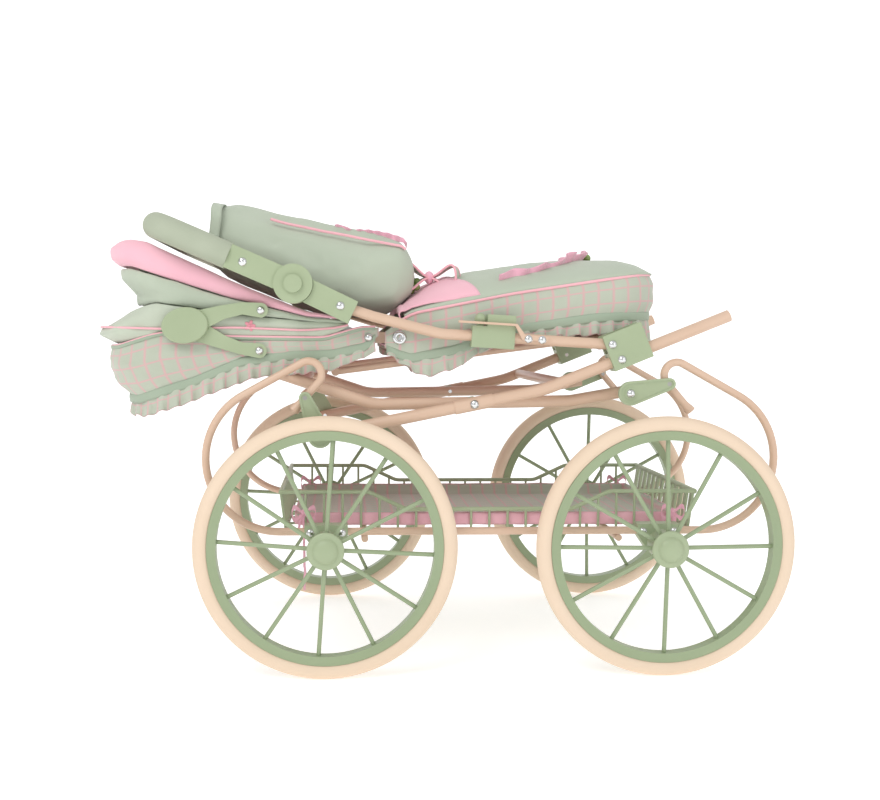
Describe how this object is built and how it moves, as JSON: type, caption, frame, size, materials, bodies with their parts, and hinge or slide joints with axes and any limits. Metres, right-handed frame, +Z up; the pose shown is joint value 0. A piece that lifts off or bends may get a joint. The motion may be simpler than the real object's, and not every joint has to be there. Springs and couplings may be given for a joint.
{
  "type": "doll pram",
  "caption": "Folded doll's pram: C-spring chassis on spoked wheels, wire basket, scissor frame, swing-over handle with bag, soft carrycot with folding hood.",
  "frame": {"origin": "on the floor, under the middle of the bounding box", "axes": "+X from the hood end (front) to the foot end (rear), +Y to the pram's right, +Z up"},
  "size_m": [0.803, 0.43, 0.5541],
  "materials": {
    "sage_plastic": "moulded, satin",
    "sage_rim": "moulded, satin gloss",
    "beige_tube": "powder coated, satin gloss",
    "tyre_beige": "matt solid rubber",
    "steel": "polished",
    "bare_steel": "plain zinc plated",
    "sage_fabric": "woven polyester",
    "check_fabric": "woven polyester with a thin check",
    "pink_fabric": "woven polyester",
    "foam": "closed cell foam"
  },
  "bodies": {
    "chassis": {"c_springs": "beige_tube", "axles": "bare_steel", "axle_nuts": "bare_steel", "axle_spacers": "bare_steel", "axle_brackets": "sage_plastic", "bracket_bolts": "steel", "rail_cross_bars": "beige_tube", "basket_frame": "sage_plastic", "basket_liner": "check_fabric", "ribbon_bows": "pink_fabric", "hanger_pins": "bare_steel"},
    "front_shackle_pair": {"front_shackles": "sage_plastic", "front_shackle_bolts": "steel"},
    "rear_shackle_pair": {"rear_shackles": "sage_plastic", "rear_shackle_bolts": "steel"},
    "outer_frame": {"outer_frame_tubes": "beige_tube", "centre_sleeves": "beige_tube", "handle_clamps": "sage_plastic", "frame_bolts": "steel"},
    "inner_frame": {"inner_frame_tubes": "beige_tube", "frame_bushes": "bare_steel"},
    "handle": {"handle_arms": "beige_tube", "latch_strips": "beige_tube", "handle_arm_bolts": "steel", "grip_hinge_lower": "sage_plastic", "changing_bag": "sage_fabric"},
    "grip": {"grip_hinge_upper": "sage_plastic", "grip_bar": "bare_steel", "grip_foam": "foam", "grip_bolts": "steel"},
    "left_button": {"grip_button_left": "sage_plastic"},
    "right_button": {"grip_button_right": "sage_plastic"},
    "left_latch": {"latch_collar_left": "sage_plastic"},
    "right_latch": {"latch_collar_right": "sage_plastic"},
    "cot_foot": {"carrycot_foot": "check_fabric", "foot_apron": "sage_fabric", "carrycot_base": "beige_tube", "cot_eyelets": "steel"},
    "cot_head": {"carrycot_head": "check_fabric", "hood_base": "sage_fabric", "head_rivets": "steel"},
    "hood_middle_part": {"hood_middle": "sage_fabric", "hood_bow_middle": "bare_steel"},
    "hood_front_part": {"hood_front": "pink_fabric", "hood_bow_front": "bare_steel"},
    "stay_lower_pair": {"hood_stays_lower": "sage_plastic"},
    "stay_upper_pair": {"hood_stays_upper": "sage_plastic", "stay_hood_rivets": "steel"},
    "front_left_wheel": {"wheel_front_left": "sage_rim", "tyre_front_left": "tyre_beige", "hub_cap_front_left": "sage_plastic"},
    "front_right_wheel": {"wheel_front_right": "sage_rim", "tyre_front_right": "tyre_beige", "hub_cap_front_right": "sage_plastic"},
    "rear_left_wheel": {"wheel_rear_left": "sage_rim", "tyre_rear_left": "tyre_beige", "hub_cap_rear_left": "sage_plastic"},
    "rear_right_wheel": {"wheel_rear_right": "sage_rim", "tyre_rear_right": "tyre_beige", "hub_cap_rear_right": "sage_plastic"}
  },
  "joints": [
    {"name": "front_left_roll", "type": "hinge", "parent": "chassis", "child": "front_left_wheel", "pos_m": [-0.1385, -0.19, 0.15], "axis": [0, 1, 0], "continuous": true},
    {"name": "front_right_roll", "type": "hinge", "parent": "chassis", "child": "front_right_wheel", "pos_m": [-0.1385, 0.19, 0.15], "axis": [0, 1, 0], "continuous": true},
    {"name": "rear_left_roll", "type": "hinge", "parent": "chassis", "child": "rear_left_wheel", "pos_m": [0.2515, -0.19, 0.15], "axis": [0, 1, 0], "continuous": true},
    {"name": "rear_right_roll", "type": "hinge", "parent": "chassis", "child": "rear_right_wheel", "pos_m": [0.2515, 0.19, 0.15], "axis": [0, 1, 0], "continuous": true},
    {"name": "front_shackle_swing", "type": "hinge", "parent": "chassis", "child": "front_shackle_pair", "pos_m": [-0.16286, 0, 0.31835], "axis": [0, -1, 0], "range_deg": [0, 25.65]},
    {"name": "outer_frame_turn", "type": "hinge", "parent": "front_shackle_pair", "child": "outer_frame", "pos_m": [-0.14563, 0, 0.27462], "axis": [0, -1, 0], "range_deg": [-9.55, 0]},
    {"name": "scissor_open", "type": "hinge", "parent": "outer_frame", "child": "inner_frame", "pos_m": [0.03331, 0, 0.31105], "axis": [0, -1, 0], "range_deg": [-34.05, 0]},
    {"name": "rear_shackle_swing", "type": "hinge", "parent": "chassis", "child": "rear_shackle_pair", "pos_m": [0.2611, 0, 0.33534], "axis": [0, -1, 0], "range_deg": [-3.75, 0]},
    {"name": "handle_swing", "type": "hinge", "parent": "outer_frame", "child": "handle", "pos_m": [0.19333, 0, 0.38115], "axis": [0, -1, 0], "range_deg": [-154.7, 0]},
    {"name": "grip_tilt", "type": "hinge", "parent": "handle", "child": "grip", "pos_m": [-0.1765, 0, 0.449], "axis": [0, -1, 0], "range_deg": [-75, 0]},
    {"name": "left_button_press", "type": "slide", "parent": "grip", "child": "left_button", "axis": [0, 1, 0], "range_m": [0, 0.0032], "stiffness_N_per_m": 400},
    {"name": "right_button_press", "type": "slide", "parent": "grip", "child": "right_button", "axis": [0, -1, 0], "range_m": [0, 0.0032], "stiffness_N_per_m": 400},
    {"name": "left_latch_slide", "type": "slide", "parent": "handle", "child": "left_latch", "axis": [-0.9983, 0, 0.0576], "range_m": [0, 0.016]},
    {"name": "right_latch_slide", "type": "slide", "parent": "handle", "child": "right_latch", "axis": [-0.9983, 0, 0.0576], "range_m": [0, 0.016]},
    {"name": "cot_level", "type": "hinge", "parent": "outer_frame", "child": "cot_foot", "pos_m": [0.22061, 0, 0.39373], "axis": [0, -1, 0], "range_deg": [-26.15, 0]},
    {"name": "cot_flatten", "type": "hinge", "parent": "cot_foot", "child": "cot_head", "pos_m": [-0.0895, 0, 0.388], "axis": [0, -1, 0], "range_deg": [-5.05, 0]},
    {"name": "hood_middle_turn", "type": "hinge", "parent": "cot_head", "child": "hood_middle_part", "pos_m": [-0.0895, 0, 0.388], "axis": [0, -1, 0], "range_deg": [-31.05, 0]},
    {"name": "hood_front_turn", "type": "hinge", "parent": "hood_middle_part", "child": "hood_front_part", "pos_m": [-0.0895, 0, 0.388], "axis": [0, -1, 0], "range_deg": [-31.05, 0]},
    {"name": "stay_lower_turn", "type": "hinge", "parent": "cot_head", "child": "stay_lower_pair", "pos_m": [-0.2165, 0, 0.372], "axis": [0, -1, 0], "range_deg": [-87.94, 0]},
    {"name": "stay_elbow_turn", "type": "hinge", "parent": "stay_lower_pair", "child": "stay_upper_pair", "pos_m": [-0.3015, 0, 0.401], "axis": [0, -1, 0], "range_deg": [0, 114.42]}
  ],
  "couplings": [
    {"joint": "front_shackle_swing", "follows": "handle_swing", "ratio": -0.16548},
    {"joint": "outer_frame_turn", "follows": "handle_swing", "ratio": 0.061409},
    {"joint": "scissor_open", "follows": "handle_swing", "ratio": 0.21978},
    {"joint": "rear_shackle_swing", "follows": "handle_swing", "ratio": 0.023917},
    {"joint": "cot_level", "follows": "handle_swing", "ratio": 0.16871},
    {"joint": "cot_flatten", "follows": "handle_swing", "ratio": 0.032321},
    {"joint": "hood_middle_turn", "follows": "handle_swing", "ratio": 0.20039},
    {"joint": "hood_front_turn", "follows": "handle_swing", "ratio": 0.20039},
    {"joint": "stay_lower_turn", "follows": "handle_swing", "ratio": 0.56811},
    {"joint": "stay_elbow_turn", "follows": "handle_swing", "ratio": -0.73932}
  ]
}
